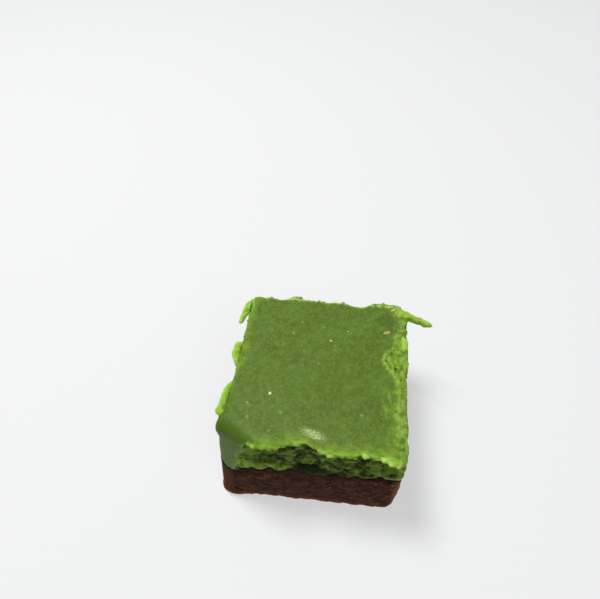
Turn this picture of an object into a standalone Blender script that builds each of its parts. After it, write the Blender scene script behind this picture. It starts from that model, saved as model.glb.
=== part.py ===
"""Mint fudge: one cut square, a mint layer lying on a chocolate layer. Metres, +Z up.

The origin is the middle of the square, on the surface that it stands on. The cut front faces -Y,
the side that lay against the tin faces -X, and the sides to the back and the right are torn.
"""
import math
import random

import bmesh
import bpy
from mathutils import Matrix, Vector, noise

MM = 0.001

# Driving dimensions of the square
WIDTH = 32.8 * MM
DEPTH = 34.8 * MM
HEIGHT = 19.4 * MM
CHOCOLATE_HEIGHT = 11.5 * MM
LEAN = 1.4 * MM  # how much further right the top stands than the base
LAYER_GAP = 0.3 * MM

# The corner to the front left, where the square met the tin's rounded corner
FACET_FACING = Vector((-0.56, -0.828))
FACET_REACH_BASE = 23.8 * MM
FACET_REACH_TOP = 20.3 * MM
FLARE = 1.5 * MM  # how far the top stands out to the left beside that corner
FLARE_Y = -14.6 * MM
FLARE_HALF = 2.0 * MM
SKIRT_DROP = 4.0 * MM  # how far the mint ran down over the chocolate there
SKIRT_SPREAD = 6.5 * MM

# Rounding of the two corners to the right, as what is cut off them
CORNER_FACING = math.sqrt(0.5)
BACK_CORNER_CUT = 0.7 * MM
FRONT_CORNER_CUT = 0.4 * MM
CORNER_SHARPNESS = 60

# Rolled edges of the top, along the tin's side and along the cut corner
LEFT_ROLL = 0.8 * MM
FACET_ROLL = 2.4 * MM

# The torn edge along the right of the top
BEVEL_INNER = 14.7 * MM
BEVEL_DROP = 1.5 * MM
BEVEL_BITE = 2.4 * MM  # how much further in it reaches at its widest
BEVEL_BITE_Y = 3.2 * MM
BEVEL_BITE_SPREAD = 2.4 * MM

# The rims of the top, as place along the edge, half length and how far out the mint stands there
FRONT_RIM = (
    (-8.8 * MM, 1.6 * MM, 0.2 * MM),
    (-1.6 * MM, 2.6 * MM, -1.5 * MM),
    (9.4 * MM, 0.8 * MM, -0.7 * MM),
    (12.4 * MM, 0.8 * MM, -0.5 * MM),
    (14.9 * MM, 0.9 * MM, 0.8 * MM),
)
BACK_RIM = (
    (-10.2 * MM, 1.4 * MM, -0.5 * MM),
    (-6.4 * MM, 1.3 * MM, 1.1 * MM),
    (7.0 * MM, 1.7 * MM, -1.0 * MM),
    (12.0 * MM, 2.6 * MM, 0.5 * MM),
)
RIM_HEIGHT = 1.0 * MM  # thickness of the lip that stands over the torn face
FRONT_RECESS = 1.4 * MM  # how far the torn mint lies behind its lip
BACK_RECESS = 0.8 * MM
RIGHT_RECESS = 0.45 * MM
FRINGE_HEIGHT = 4.0 * MM  # height over which the mint comes out again, to stand over the chocolate
FRINGE = 0.2 * MM

# Crumb: the extent of its lumps on each axis, and how far they stand out of the face
FRONT_CRUMB = (3.4 * MM, 2.0 * MM, 1.5 * MM)
SIDE_CRUMB = (2.4 * MM, 2.6 * MM, 2.0 * MM)
MINT_RELIEF = 0.6 * MM
BEVEL_RELIEF = 0.35 * MM
CHOCOLATE_CRUMB = (2.2 * MM, 2.2 * MM, 1.6 * MM)
CHOCOLATE_RELIEF = 0.16 * MM
BASE_EDGE = 0.5 * MM  # height over which the chocolate's lower edge is rounded
BASE_CHIP = 0.2 * MM
BROW_RECESS = 0.5 * MM  # how far the chocolate's upper edge lies behind its foot
FOOT = 0.25 * MM  # how far its foot stands out
BASE_FLAT = 0.05 * MM  # what lies lower than this belongs to the underside

# Torn strips that hang on the mint: points of the route with the strip's radius, all in millimetres
CURL = (
    ((14.8, 16.2, 18.2), 0.7),
    ((16.4, 16.0, 18.7), 0.95),
    ((18.1, 15.2, 18.9), 0.82),
    ((20.1, 14.4, 18.8), 0.7),
    ((22.3, 13.6, 18.5), 0.35),
)
LEFT_STRIPS = (
    (
        ((-15.0, 17.0, 18.4), 0.5),
        ((-16.4, 15.6, 18.3), 0.6),
        ((-16.9, 13.6, 18.2), 0.6),
        ((-17.5, 10.8, 18.2), 0.45),
    ),
    (
        ((-15.7, 5.0, 18.6), 0.55),
        ((-16.5, 3.6, 18.7), 0.75),
        ((-16.4, 1.8, 18.7), 0.75),
        ((-15.7, 0.0, 18.7), 0.5),
    ),
    (
        ((-15.5, -4.6, 18.8), 0.5),
        ((-16.2, -6.4, 18.8), 0.7),
        ((-16.2, -8.8, 18.8), 0.7),
        ((-16.7, -10.5, 18.7), 0.75),
        ((-16.0, -11.6, 18.6), 0.5),
    ),
)
STRIP_FLATNESS = 0.8
CURL_FLATNESS = 0.7
STRIP_ROUGHNESS = 0.16 * MM

# Crumbs that hang on the front lip, as place along it and half length in millimetres
LIP_CRUMBS = (
    (-9.6, 0.8),
    (-6.9, 1.0),
    (-4.8, 0.7),
    (-2.3, 0.8),
    (2.2, 0.9),
    (3.4, 0.8),
    (5.4, 1.0),
    (7.2, 1.0),
    (9.4, 0.8),
    (11.3, 0.8),
    (13.2, 0.8),
    (14.2, 0.9),
    (15.4, 0.9),
)
LIP_CRUMB_DROP = 0.7 * MM

# Crumbs on the torn sides of the mint
SIDE_CRUMBS = 110
SIDE_CRUMB_SIZE = (0.5 * MM, 1.1 * MM)

# Cells of the blocks before they are thinned out, and the triangles that are kept
CELL = 0.62 * MM
SKIN_VOXEL = 0.3 * MM
MINT_TRIANGLES = 8200
CHOCOLATE_TRIANGLES = 3600
SEED = 12

COLLECTION = "mint_fudge"
MINT_COLOUR = (0.122, 0.202, 0.033, 1.0)
CHOCOLATE_COLOUR = (0.042, 0.017, 0.012, 1.0)


def smooth(edge, full, value):
    """0 before edge, 1 past full, and a smooth step between them."""
    share = min(max((value - edge) / (full - edge), 0.0), 1.0)
    return share * share * (3.0 - 2.0 * share)


def hump(centre, half, value):
    """1 at the centre, falling smoothly to 0 at twice the half length from it."""
    return 1.0 - smooth(0.0, 2.0 * half, abs(value - centre))


def side_reaches(y, height):
    """Each side's outward direction in plan, and its distance from the middle at a depth and height."""
    rise = height / HEIGHT
    right = (WIDTH - LEAN) / 2 + LEAN * rise
    left = (WIDTH + LEAN) / 2 - LEAN * rise + FLARE * rise * hump(FLARE_Y, FLARE_HALF, y)
    facet = FACET_REACH_BASE + (FACET_REACH_TOP - FACET_REACH_BASE) * rise
    corner = (right + DEPTH / 2) * CORNER_FACING
    front_cut = FRONT_CORNER_CUT * (2.0 - 1.6 * rise)
    return {
        "right": (Vector((1.0, 0.0)), right),
        "back": (Vector((0.0, 1.0)), DEPTH / 2),
        "left": (Vector((-1.0, 0.0)), left),
        "front": (Vector((0.0, -1.0)), DEPTH / 2),
        "facet": (FACET_FACING, facet),
        "back corner": (Vector((CORNER_FACING, CORNER_FACING)), corner - BACK_CORNER_CUT),
        "front corner": (Vector((CORNER_FACING, -CORNER_FACING)), corner - front_cut),
    }


def outline(direction, height):
    """The outline's distance in a direction, its outward normal, and each side's share there."""
    reach = DEPTH / 2
    for _ in range(4):
        sides = side_reaches(reach * direction.y, height)
        shares = {
            name: (max(facing.dot(direction), 0.0) * WIDTH / away) ** CORNER_SHARPNESS
            for name, (facing, away) in sides.items()
        }
        total = sum(shares.values())
        reach = WIDTH * total ** (-1.0 / CORNER_SHARPNESS)
    shares = {name: share / total for name, share in shares.items()}
    normal = sum((sides[name][0] * share for name, share in shares.items()), Vector((0.0, 0.0)))
    return reach, normal.normalized(), shares


def crumb(place, size):
    """Relief of torn fudge: -1 in the cracks between lumps, 1 on the lumps."""
    scaled = Vector([along / extent for along, extent in zip(place, size)])
    near, next_near = noise.voronoi(scaled)[0][:2]
    lumps = min((next_near - near) / 0.35, 1.0) * 2.0 - 1.0
    return 0.75 * lumps + 0.35 * noise.noise(scaled * 2.3)


def interface(x, y):
    """Height of the joint between the two layers."""
    wave = noise.noise(Vector((x, y, 0.0)) / (8.0 * MM)) * 0.5 * MM
    ripple = noise.noise(Vector((x, y, 3.0 * MM)) / (2.6 * MM)) * 0.25 * MM
    corner = Vector((-WIDTH / 2, -DEPTH / 2))
    skirt = 1.0 - smooth(0.0, SKIRT_SPREAD, (Vector((x, y)) - corner).length)
    return CHOCOLATE_HEIGHT + wave + ripple - SKIRT_DROP * skirt


def bevel_share(x, y):
    """0 on the smooth top, rising to 1 at the foot of the torn edge along its right."""
    inner = BEVEL_INNER - BEVEL_BITE * hump(BEVEL_BITE_Y, BEVEL_BITE_SPREAD, y)
    inner += 0.5 * MM * noise.noise(Vector((0.0, y, 0.0)) / (2.0 * MM))
    outer = (WIDTH + LEAN) / 2
    return min(max((x - inner) / (outer - inner), 0.0), 1.0)


def top_height(x, y):
    """Height of the poured top, with its rolled and torn edges."""
    sides = side_reaches(y, HEIGHT)
    height = HEIGHT + 0.1 * MM * noise.noise(Vector((x, y, 0.0)) / (9.0 * MM))
    for name, roll in (("left", LEFT_ROLL), ("facet", FACET_ROLL)):
        facing, reach = sides[name]
        inside = min(max(reach - facing.dot((x, y)), 0.0), roll)
        height -= 0.6 * (roll - math.sqrt(roll * roll - (roll - inside) ** 2))
    torn = bevel_share(x, y)
    height -= BEVEL_DROP * torn**1.5
    return height + BEVEL_RELIEF * min(6.0 * torn, 1.0) * (crumb((x, y, height), SIDE_CRUMB) - 0.4)


def rim(bumps, along):
    """How far the lip stands out or back at a place along it."""
    return sum(out * hump(centre, half, along) for centre, half, out in bumps)


def mint_relief(place, shares):
    """How far a side of the mint layer stands out of its plan."""
    x, y, z = place
    lip = smooth(HEIGHT - 1.8 * RIM_HEIGHT, HEIGHT - 0.8 * RIM_HEIGHT, z)
    fringe = 1.0 - smooth(0.0, FRINGE_HEIGHT, z - interface(x, y))
    hollow = (1.0 - lip) * (1.0 - fringe)
    flakes = crumb(place, FRONT_CRUMB) * MINT_RELIEF * (1.0 - 0.6 * lip)
    lumps = crumb(place, SIDE_CRUMB) * MINT_RELIEF * (1.0 - 0.6 * lip)
    front = lip * rim(FRONT_RIM, x) - FRONT_RECESS * hollow + FRINGE * fringe
    back = lip * rim(BACK_RIM, x) - BACK_RECESS * hollow + FRINGE * fringe
    return (
        shares["front"] * (front + flakes)
        + (shares["back"] + shares["back corner"]) * (back + lumps)
        + shares["right"] * (lumps - RIGHT_RECESS)
        + shares["front corner"] * 0.5 * lumps
    )


def chocolate_relief(place, shares):
    """How far a side of the chocolate layer stands out of its plan."""
    x, y, z = place
    torn = shares["front"] + shares["back"] + shares["right"]
    edge = 1.0 - smooth(0.0, BASE_EDGE, z)
    brow = smooth(CHOCOLATE_HEIGHT / 2, CHOCOLATE_HEIGHT, z)
    grain = crumb(place, CHOCOLATE_CRUMB) * CHOCOLATE_RELIEF
    chip = BASE_CHIP * edge * (1.0 + crumb(place, SIDE_CRUMB))
    return torn * (grain + FOOT - BROW_RECESS * brow) - chip


def shape_block(bm, foot, top, relief):
    """Moves a block of -1 to 1 on each axis into the layer between two surfaces."""
    for vertex in bm.verts:
        s, t, rise = vertex.co.x, vertex.co.y, (vertex.co.z + 1.0) / 2.0
        edge = max(abs(s), abs(t))
        flat = Vector((s * WIDTH, t * DEPTH))
        direction = flat.normalized() if edge > 0.0 else Vector((1.0, 0.0))
        x, y = direction * outline(direction, CHOCOLATE_HEIGHT)[0] * edge
        height = foot(x, y) + (top(x, y) - foot(x, y)) * rise
        reach, normal, shares = outline(direction, height)
        plan = direction * reach * edge
        out = relief((plan.x, plan.y, height), shares) * edge**8
        plan += normal * out
        height = foot(plan.x, plan.y) + (top(plan.x, plan.y) - foot(plan.x, plan.y)) * rise
        vertex.co = (plan.x, plan.y, height)


def layer(name, low, high, foot, top, relief):
    """One layer of the square, as a cube cut into cells and shaped."""
    bm = bmesh.new()
    bmesh.ops.create_cube(bm, size=2.0)
    for axis, extent in enumerate((WIDTH, DEPTH, high - low)):
        edges = [e for e in bm.edges if e.verts[0].co[axis] != e.verts[1].co[axis]]
        bmesh.ops.subdivide_edges(bm, edges=edges, cuts=round(extent / CELL) - 1, use_grid_fill=True)
    shape_block(bm, foot, top, relief)
    bmesh.ops.triangulate(bm, faces=bm.faces)
    return bmesh_object(name, bm)


def bmesh_object(name, bm):
    """A new object in the fudge's collection, with the shape that bm holds."""
    mesh = bpy.data.meshes.new(name)
    bm.to_mesh(mesh)
    bm.free()
    made = bpy.data.objects.new(name, mesh)
    bpy.data.collections[COLLECTION].objects.link(made)
    return made


def strip(name, route, flatness):
    """A torn strip: a tube along a route, flattened, with a rough skin."""
    curve = bpy.data.curves.new(name, "CURVE")
    curve.dimensions = "3D"
    curve.resolution_u = 3
    curve.bevel_depth = MM
    curve.bevel_resolution = 1
    curve.use_fill_caps = True
    spline = curve.splines.new("BEZIER")
    spline.bezier_points.add(len(route) - 1)
    for point, (place, radius) in zip(spline.bezier_points, route):
        point.co = Vector((place[0], place[1], place[2] / flatness)) * MM
        point.radius = radius
        point.handle_left_type = "AUTO"
        point.handle_right_type = "AUTO"
    guide = bpy.data.objects.new(name, curve)
    guide.scale.z = flatness
    bpy.context.scene.collection.objects.link(guide)
    bpy.context.view_layer.update()
    mesh = bpy.data.meshes.new_from_object(guide.evaluated_get(bpy.context.evaluated_depsgraph_get()))
    mesh.transform(guide.matrix_world)
    bm = bmesh.new()
    bm.from_mesh(mesh)
    bmesh.ops.remove_doubles(bm, verts=bm.verts, dist=0.01 * MM)
    for vertex in bm.verts:
        vertex.co += noise.noise_vector(vertex.co / (0.9 * MM)) * STRIP_ROUGHNESS
    bmesh.ops.recalc_face_normals(bm, faces=bm.faces)
    bpy.data.objects.remove(guide)
    bpy.data.meshes.remove(mesh)
    return bmesh_object(name, bm)


def crumb_piece(place, size, turn):
    """One loose-looking crumb, wider than it is high, turned about the vertical."""
    bm = bmesh.new()
    bmesh.ops.create_icosphere(bm, subdivisions=1, radius=size)
    shape = Matrix.Rotation(turn, 4, "Z") @ Matrix.Diagonal((1.2, 0.9, 0.7, 1.0))
    bm.transform(Matrix.Translation(place) @ shape)
    return bmesh_object("crumb", bm)


def lip_crumbs(chance):
    """The crumbs along the lip of the cut front."""
    for along, size in LIP_CRUMBS:
        out = DEPTH / 2 + rim(FRONT_RIM, along * MM) - 0.5 * size * MM
        place = Vector((along * MM, -out, HEIGHT - LIP_CRUMB_DROP))
        yield crumb_piece(place, size * MM, chance.uniform(-0.4, 0.4))


def side_crumbs(chance):
    """Crumbs all over the torn sides: the front, the right and the back."""
    for _ in range(SIDE_CRUMBS):
        facing = chance.choice((Vector((0.0, -1.0)), Vector((1.0, 0.0)), Vector((0.0, 1.0))))
        across = Vector((facing.y, -facing.x)) * chance.uniform(-0.9, 0.9)
        height = chance.uniform(CHOCOLATE_HEIGHT + 1.0 * MM, HEIGHT - 1.6 * MM)
        reach, normal, shares = outline((facing + across).normalized(), height)
        plan = (facing + across).normalized() * reach
        size = chance.uniform(*SIDE_CRUMB_SIZE)
        plan += normal * (mint_relief((plan.x, plan.y, height), shares) - 0.7 * size)
        turn = math.atan2(normal.x, -normal.y) + chance.uniform(-0.4, 0.4)
        if shares["facet"] < 0.02:
            yield crumb_piece(Vector((plan.x, plan.y, height)), size, turn)


def join_pieces(body, pieces):
    """Fuses the pieces to the body with one Boolean union, and clears the folds in its crumb."""
    joined = bpy.data.collections.new("pieces_to_join")
    bpy.context.scene.collection.children.link(joined)
    for piece in pieces:
        joined.objects.link(piece)
    union = body.modifiers.new("join", "BOOLEAN")
    union.operation = "UNION"
    union.solver = "MANIFOLD"
    union.operand_type = "COLLECTION"
    union.collection = joined
    skin = body.modifiers.new("skin", "REMESH")
    skin.mode = "VOXEL"
    skin.voxel_size = SKIN_VOXEL
    apply_modifiers(body)
    for piece in pieces:
        bpy.data.objects.remove(piece)
    bpy.data.collections.remove(joined)


def apply_modifiers(body):
    """Makes the body's mesh what its modifiers show, and removes them."""
    bpy.context.view_layer.update()
    mesh = bpy.data.meshes.new_from_object(body.evaluated_get(bpy.context.evaluated_depsgraph_get()))
    body.modifiers.clear()
    body.data = mesh


def thin_out(body, triangles):
    """Leaves about that many triangles, most of them where the surface is rough."""
    body.data.calc_loop_triangles()
    decimate = body.modifiers.new("thin out", "DECIMATE")
    decimate.ratio = triangles / len(body.data.loop_triangles)
    decimate.use_collapse_triangulate = True
    apply_modifiers(body)


def flatten_base(body):
    """Puts what thinning out moved off the underside back on it."""
    for vertex in body.data.vertices:
        if vertex.co.z < BASE_FLAT:
            vertex.co.z = 0.0


def material(name, colour, roughness):
    """A plain material for a node."""
    made = bpy.data.materials.new(name)
    made.use_nodes = True
    shader = made.node_tree.nodes["Principled BSDF"]
    shader.inputs["Base Color"].default_value = colour
    shader.inputs["Roughness"].default_value = roughness
    shader.inputs["Metallic"].default_value = 0.0
    made.diffuse_color = colour
    return made


def make_chocolate():
    """The chocolate layer, flat below."""
    body = layer(
        "chocolate_layer",
        0.0,
        CHOCOLATE_HEIGHT,
        lambda x, y: 0.0,
        lambda x, y: interface(x, y) - LAYER_GAP / 2,
        chocolate_relief,
    )
    thin_out(body, CHOCOLATE_TRIANGLES)
    flatten_base(body)
    body.data.materials.append(material("chocolate", CHOCOLATE_COLOUR, 0.55))


def make_mint():
    """The mint layer, with the crumbs and strips that hang on its rims."""
    body = layer(
        "mint_layer",
        CHOCOLATE_HEIGHT,
        HEIGHT,
        lambda x, y: interface(x, y) + LAYER_GAP / 2,
        top_height,
        mint_relief,
    )
    chance = random.Random(SEED)
    pieces = [strip("curl", CURL, CURL_FLATNESS)]
    pieces += [strip("left_strip", route, STRIP_FLATNESS) for route in LEFT_STRIPS]
    pieces += [*lip_crumbs(chance), *side_crumbs(chance)]
    join_pieces(body, pieces)
    thin_out(body, MINT_TRIANGLES)
    body.data.materials.append(material("mint", MINT_COLOUR, 0.45))


def main():
    for leftover in list(bpy.data.objects):
        bpy.data.objects.remove(leftover)
    collection = bpy.data.collections.new(COLLECTION)
    bpy.context.scene.collection.children.link(collection)
    make_chocolate()
    make_mint()


main()
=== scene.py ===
import math
import random
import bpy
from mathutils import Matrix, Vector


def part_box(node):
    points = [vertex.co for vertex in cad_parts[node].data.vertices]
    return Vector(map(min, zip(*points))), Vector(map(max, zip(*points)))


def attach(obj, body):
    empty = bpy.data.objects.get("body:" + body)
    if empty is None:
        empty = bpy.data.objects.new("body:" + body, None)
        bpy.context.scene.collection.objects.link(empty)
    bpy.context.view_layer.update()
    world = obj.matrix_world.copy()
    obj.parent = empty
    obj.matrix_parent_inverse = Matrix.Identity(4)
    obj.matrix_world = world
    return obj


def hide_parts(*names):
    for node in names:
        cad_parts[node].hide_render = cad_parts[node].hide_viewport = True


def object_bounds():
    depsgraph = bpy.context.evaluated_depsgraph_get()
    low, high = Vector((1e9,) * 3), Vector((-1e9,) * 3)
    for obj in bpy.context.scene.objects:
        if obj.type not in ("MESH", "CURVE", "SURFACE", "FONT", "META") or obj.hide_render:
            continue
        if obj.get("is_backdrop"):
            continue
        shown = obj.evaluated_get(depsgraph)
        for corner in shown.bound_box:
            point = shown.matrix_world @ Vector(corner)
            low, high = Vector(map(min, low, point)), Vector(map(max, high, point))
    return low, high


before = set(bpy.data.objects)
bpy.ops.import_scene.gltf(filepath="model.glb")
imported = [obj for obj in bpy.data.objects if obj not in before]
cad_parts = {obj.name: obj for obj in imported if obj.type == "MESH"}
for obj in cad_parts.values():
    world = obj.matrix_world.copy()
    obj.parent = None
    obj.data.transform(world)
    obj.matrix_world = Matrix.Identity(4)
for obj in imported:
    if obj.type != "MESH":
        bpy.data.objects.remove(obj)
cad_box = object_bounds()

from types import SimpleNamespace
from typing import NamedTuple

import bmesh
import bpy
import numpy as np
from mathutils import Euler, Matrix, Vector, noise
from mathutils.bvhtree import BVHTree

# Mint fudge: a green mint layer on a chocolate layer, cut out of a tin by hand. Metres, +Z up, cut
# front to -Y. Each layer starts from its solid, moved a little where the photo shows it elsewhere.
# Crumbs are strewn over the torn sides, and one skin is drawn over solid and crumbs together. It is
# then smoothed where the fudge was poured or lay against the tin, and roughened where it is torn.

MM = 0.001
SEED = 7

# The mint's highest point and the chocolate's front, from the frame
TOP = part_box("mint_layer")[1].z
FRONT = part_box("chocolate_layer")[0].y

# The cut corner to the front left: its outward direction, its reach at the base and at the top, how
# far behind it its soft edge begins, where it ends to the right at the top, and how far that end moves
# to the left for each millimetre down
CORNER_FACING = Vector((-0.56, -0.828, 0.0)).normalized()
CORNER_REACH = (23.8 * MM, 20.3 * MM)
CORNER_ROLL = 2.4 * MM
CORNER_RIGHT = -11.4 * MM
CORNER_LEAN = 0.25

# The torn front beside the corner is set back: where it begins, how far right of that and at which
# heights the face is measured, and where the move begins and is full past the corner's end, along the
# front and below the top
FRONT_LEFT = -10.8 * MM
FACE_BESIDE = 0.6 * MM
FACE_HEIGHTS = np.linspace(11.8, 17.8, 13) * MM
SET_BACK_AFTER = (0.0, 0.6 * MM)
SET_BACK_ALONG = (0.9 * MM, 0.3 * MM)
SET_BACK_BELOW = (1.0 * MM, 1.5 * MM)

# The poured top ends at the torn band on its right: its edge, where, how wide and how far it bites in,
# and where the band grows thin towards the back, with the edge's place there
BAND_INNER = 14.7 * MM
BAND_BITE = (3.2 * MM, 2.4 * MM, 2.4 * MM)
BAND_BACK = (9.2 * MM, 11.0 * MM)
BAND_BACK_INNER = 16.2 * MM

# Where else the poured and moulded surfaces end: at the torn front and back, and beside the tin
TOP_FRONT, TOP_BACK = -17.0 * MM, 17.3 * MM
TIN_SIDE, CHOCOLATE_TIN_SIDE = -13.6 * MM, -14.5 * MM

# How far the regions' ends wander, in waves of which size in millimetres and share, where the front is
# set back in waves of one size, and how much of it the ends of the corner and of the top get
RAGGED = 0.5 * MM
RAGGED_WAVES = ((1.7, 1.0), (0.6, 0.7))
CORNER_WAVE = 0.9
CORNER_WANDER, BAND_WANDER, BACK_WANDER = 1.2, 1.6, 0.6

# Limits of the mint's regions: how much a triangle faces up or to the back, how far below the highest
# point they reach, and where they end along the sides
TOP_UP, ROLL_UP, BAND_UP, RIM_UP, UNDER_UP = 0.9, 0.3, 0.45, 0.6, -0.75
TORN_BACK = 0.6
TOP_DEPTH, LIP_DEPTH, RIM_DEPTH = 1.2 * MM, 1.3 * MM, 1.6 * MM
LEFT_RIM_DEPTH, RIGHT_RIM_DEPTH = 0.9 * MM, 2.6 * MM
FRONT_BACK, FRONT_RIGHT, FRINGE_TOP = -13.5 * MM, 15.6 * MM, 12.8 * MM
ROLL_RIGHT, ROLL_FRONT = -9.2 * MM, -16.6 * MM
LEFT_RIM_RIGHT, LEFT_RIM_FRONT = -15.1 * MM, -3.0 * MM
BAND_LEFT, SIDE_LEFT, BACK_FRONT = 11.0 * MM, 14.0 * MM, 14.5 * MM

# Limits of the chocolate's: how much its base, its top and what is raised with its top face up, the
# height between base and top, and the height from which the cut sides have grains. The top is raised
# by a share of the gap that the solids keep between the layers.
BASE_UP, CHOCOLATE_UP, RAISED_UP = -0.9, 0.75, 0.3
HALF_WAY, GRAINS_FROM = 6.0 * MM, 0.9 * MM
LAYER_GAP, CLOSED_SHARE = 0.3 * MM, 0.9


class Crumbs(NamedTuple):
    """Crumbs strewn over a side: how many a square millimetre, their least and largest half length in
    millimetres, their form, and how far out of the surface they sit, in half lengths."""
    density: float
    small: float
    large: float
    form: tuple
    sink: tuple


# Crumbs by region: flakes, grains, teeth that stand up, lumps and lobes
MINT_CRUMBS = (
    ("front", 1.5, 0.2, 0.6, (1.5, 0.55, 0.5), (-0.45, -0.1)),
    ("front", 1.6, 0.14, 0.28, (1.4, 0.9, 0.7), (-0.5, 0.0)),
    ("fringe", 1.6, 0.16, 0.4, (1.8, 0.7, 0.5), (-0.6, 0.0)),
    ("lip", 1.2, 0.16, 0.36, (1.2, 1.1, 0.6), (-0.8, -0.2)),
    ("side", 1.3, 0.35, 0.9, (1.15, 0.85, 0.85), (-1.1, -0.45)),
    ("side", 2.2, 0.14, 0.34, (1.2, 0.9, 0.8), (-0.6, 0.0)),
    ("rim", 3.0, 0.14, 0.34, (0.8, 1.1, 0.7), (-0.5, 0.3)),
    ("back rim", 3.4, 0.14, 0.42, (0.8, 1.0, 0.6), (-0.5, 0.25)),
    ("right rim", 1.0, 0.14, 0.24, (1.4, 0.8, 0.8), (-0.9, -0.5)),
    ("band", 0.6, 0.3, 0.8, (1.7, 0.5, 0.5), (-0.9, -0.6)),
    ("band", 0.6, 0.12, 0.22, (1.3, 0.8, 0.9), (-0.6, 0.0)),
)
CHOCOLATE_GRAINS = Crumbs(0.5, 0.12, 0.24, (1.1, 0.9, 1.0), (-0.9, -0.3))

# Small lobes of the lip over the cut front, as place along it and half length in millimetres, then
# their form, the way they face and how far below the highest point they sit
LIP_LOBES = (
    (-10.6, 0.3), (-8.3, 0.35), (-5.6, 0.35), (-4.6, 0.25), (-3.3, 0.35), (-0.6, 0.3), (0.8, 0.35),
    (4.6, 0.35), (5.7, 0.4), (6.8, 0.3), (7.9, 0.4), (10.9, 0.3), (12.4, 0.35),
)
LOBE_FORM = (0.8, 1.0, 0.55)
LOBE_AIM = Vector((-0.5, -0.8, -0.3)).normalized()
LOBE_DROP = 0.7 * MM

# Teeth of the lip, as root, tip and the tip's radius in millimetres. The knife dragged them to the left
# and a little down. A root is wider than its tip, and the tip's painted highlight reaches some way back.
TEETH = (
    ((-9.0, -16.5, 18.8), (-9.7, -17.1, 18.75), 0.32), ((-5.9, -16.2, 18.8), (-6.7, -16.8, 18.8), 0.42),
    ((-1.6, -15.5, 18.8), (-2.4, -16.05, 18.8), 0.38), ((4.1, -16.2, 18.75), (2.4, -16.9, 18.75), 0.5),
    ((4.6, -17.0, 18.65), (3.3, -17.55, 18.6), 0.38), ((11.4, -16.1, 18.8), (9.5, -16.9, 18.75), 0.55),
    ((12.8, -16.6, 18.75), (11.6, -17.1, 18.7), 0.4), ((14.8, -16.4, 18.75), (12.8, -17.2, 18.7), 0.55),
    ((15.6, -17.1, 18.65), (13.8, -17.9, 18.6), 0.5), ((16.2, -17.5, 18.55), (15.1, -18.05, 18.55), 0.4),
)
TOOTH_ROOT = 1.3
TIP_BACK = np.linspace(0.0, 0.8, 5)
TIP_EDGE = (0.3, 2.2)
TIP_TAPER = 0.5

# Torn strips: points of the route with the strip's radius, in millimetres
CURL_FRINGE = (
    ((16.6, 15.2, 18.45), 0.5), ((17.3, 14.9, 18.45), 0.28), ((17.9, 14.6, 18.45), 0.5),
    ((18.6, 14.4, 18.4), 0.26), ((19.2, 14.1, 18.4), 0.44), ((19.9, 13.95, 18.35), 0.26),
    ((20.4, 13.75, 18.3), 0.38), ((21.0, 13.6, 18.25), 0.26),
)
CURL = (
    ((14.4, 16.4, 18.3), 1.0), ((16.0, 16.0, 18.6), 1.0), ((17.6, 15.35, 18.75), 0.86),
    ((19.4, 14.7, 18.75), 0.82), ((20.9, 14.1, 18.6), 0.74), ((21.6, 13.8, 18.4), 0.62),
)
FLAP = (
    ((16.1, 9.3, 18.7), 0.5), ((16.4, 8.7, 18.8), 0.68), ((16.45, 7.8, 18.8), 0.7),
    ((16.4, 6.9, 18.7), 0.55),
)
LEFT_STRIPS = (
    (((-15.2, 17.2, 18.6), 0.5), ((-16.2, 16.0, 18.5), 0.8), ((-16.7, 13.9, 18.3), 0.82),
     ((-17.05, 11.8, 18.2), 0.62), ((-17.3, 10.9, 18.15), 0.46)),
    (((-16.5, 4.5, 18.8), 0.6), ((-16.6, 3.2, 18.85), 0.8), ((-16.6, 1.9, 18.85), 0.76),
     ((-16.3, 0.6, 18.75), 0.5), ((-15.9, -0.5, 18.7), 0.34)),
    (((-16.1, -5.0, 18.8), 0.46), ((-16.5, -6.4, 18.9), 0.66), ((-16.65, -8.6, 18.9), 0.68),
     ((-16.85, -9.9, 18.85), 0.58), ((-17.25, -10.9, 18.75), 0.6)),
    (((-16.5, -11.0, 18.7), 0.5), ((-16.9, -11.3, 18.65), 0.45)),
)
STRIPS = (CURL, CURL_FRINGE, FLAP, *LEFT_STRIPS)
# How close together a strip's lumps lie, their form, how their size varies, and where a strip ends, in
# its radii
STRIP_STEP = 0.22 * MM
STRIP_FORM = (1.0, 1.0, 0.72)
STRIP_VARY = (0.95, 1.05)
STRIP_EDGE = (0.95, 1.25)
STRIP_SHARE = 0.3

# Places where the surface is moved, as place, half size on each axis, how far, and in which direction.
# The shifts move the solid before the crumbs are strewn, and the hollows move the skin over them.
INWARD = Vector((0.0, 1.0, 0.1))
BACKWARD = Vector((0.0, 1.0, 0.0))
DOWN = Vector((0.0, 0.0, -1.0))
RIGHTWARD = Vector((1.0, 0.0, 0.0))
MOVE_EDGE = (0.25, 1.0)
MINT_SHIFTS = (
    ((-16.4, -13.6, 18.0), (1.8, 3.6, 3.4), 0.72, -RIGHTWARD),
    ((-12.2, -17.2, 10.2), (1.3, 2.0, 1.0), 0.6, -DOWN),
    ((-14.0, -17.0, 9.2), (1.1, 1.8, 1.2), 0.5, DOWN),
    ((10.2, -17.0, 11.2), (6.0, 2.5, 1.6), 0.6, -DOWN),
    ((-10.6, 17.4, 19.0), (2.6, 1.6, 1.6), 0.6, BACKWARD),
    ((8.0, 17.6, 18.5), (9.0, 2.5, 3.0), 0.3, BACKWARD),
    ((15.4, 17.2, 18.6), (2.4, 2.2, 2.6), 0.5, Vector((0.8, 0.6, 0.0))),
)
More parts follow.
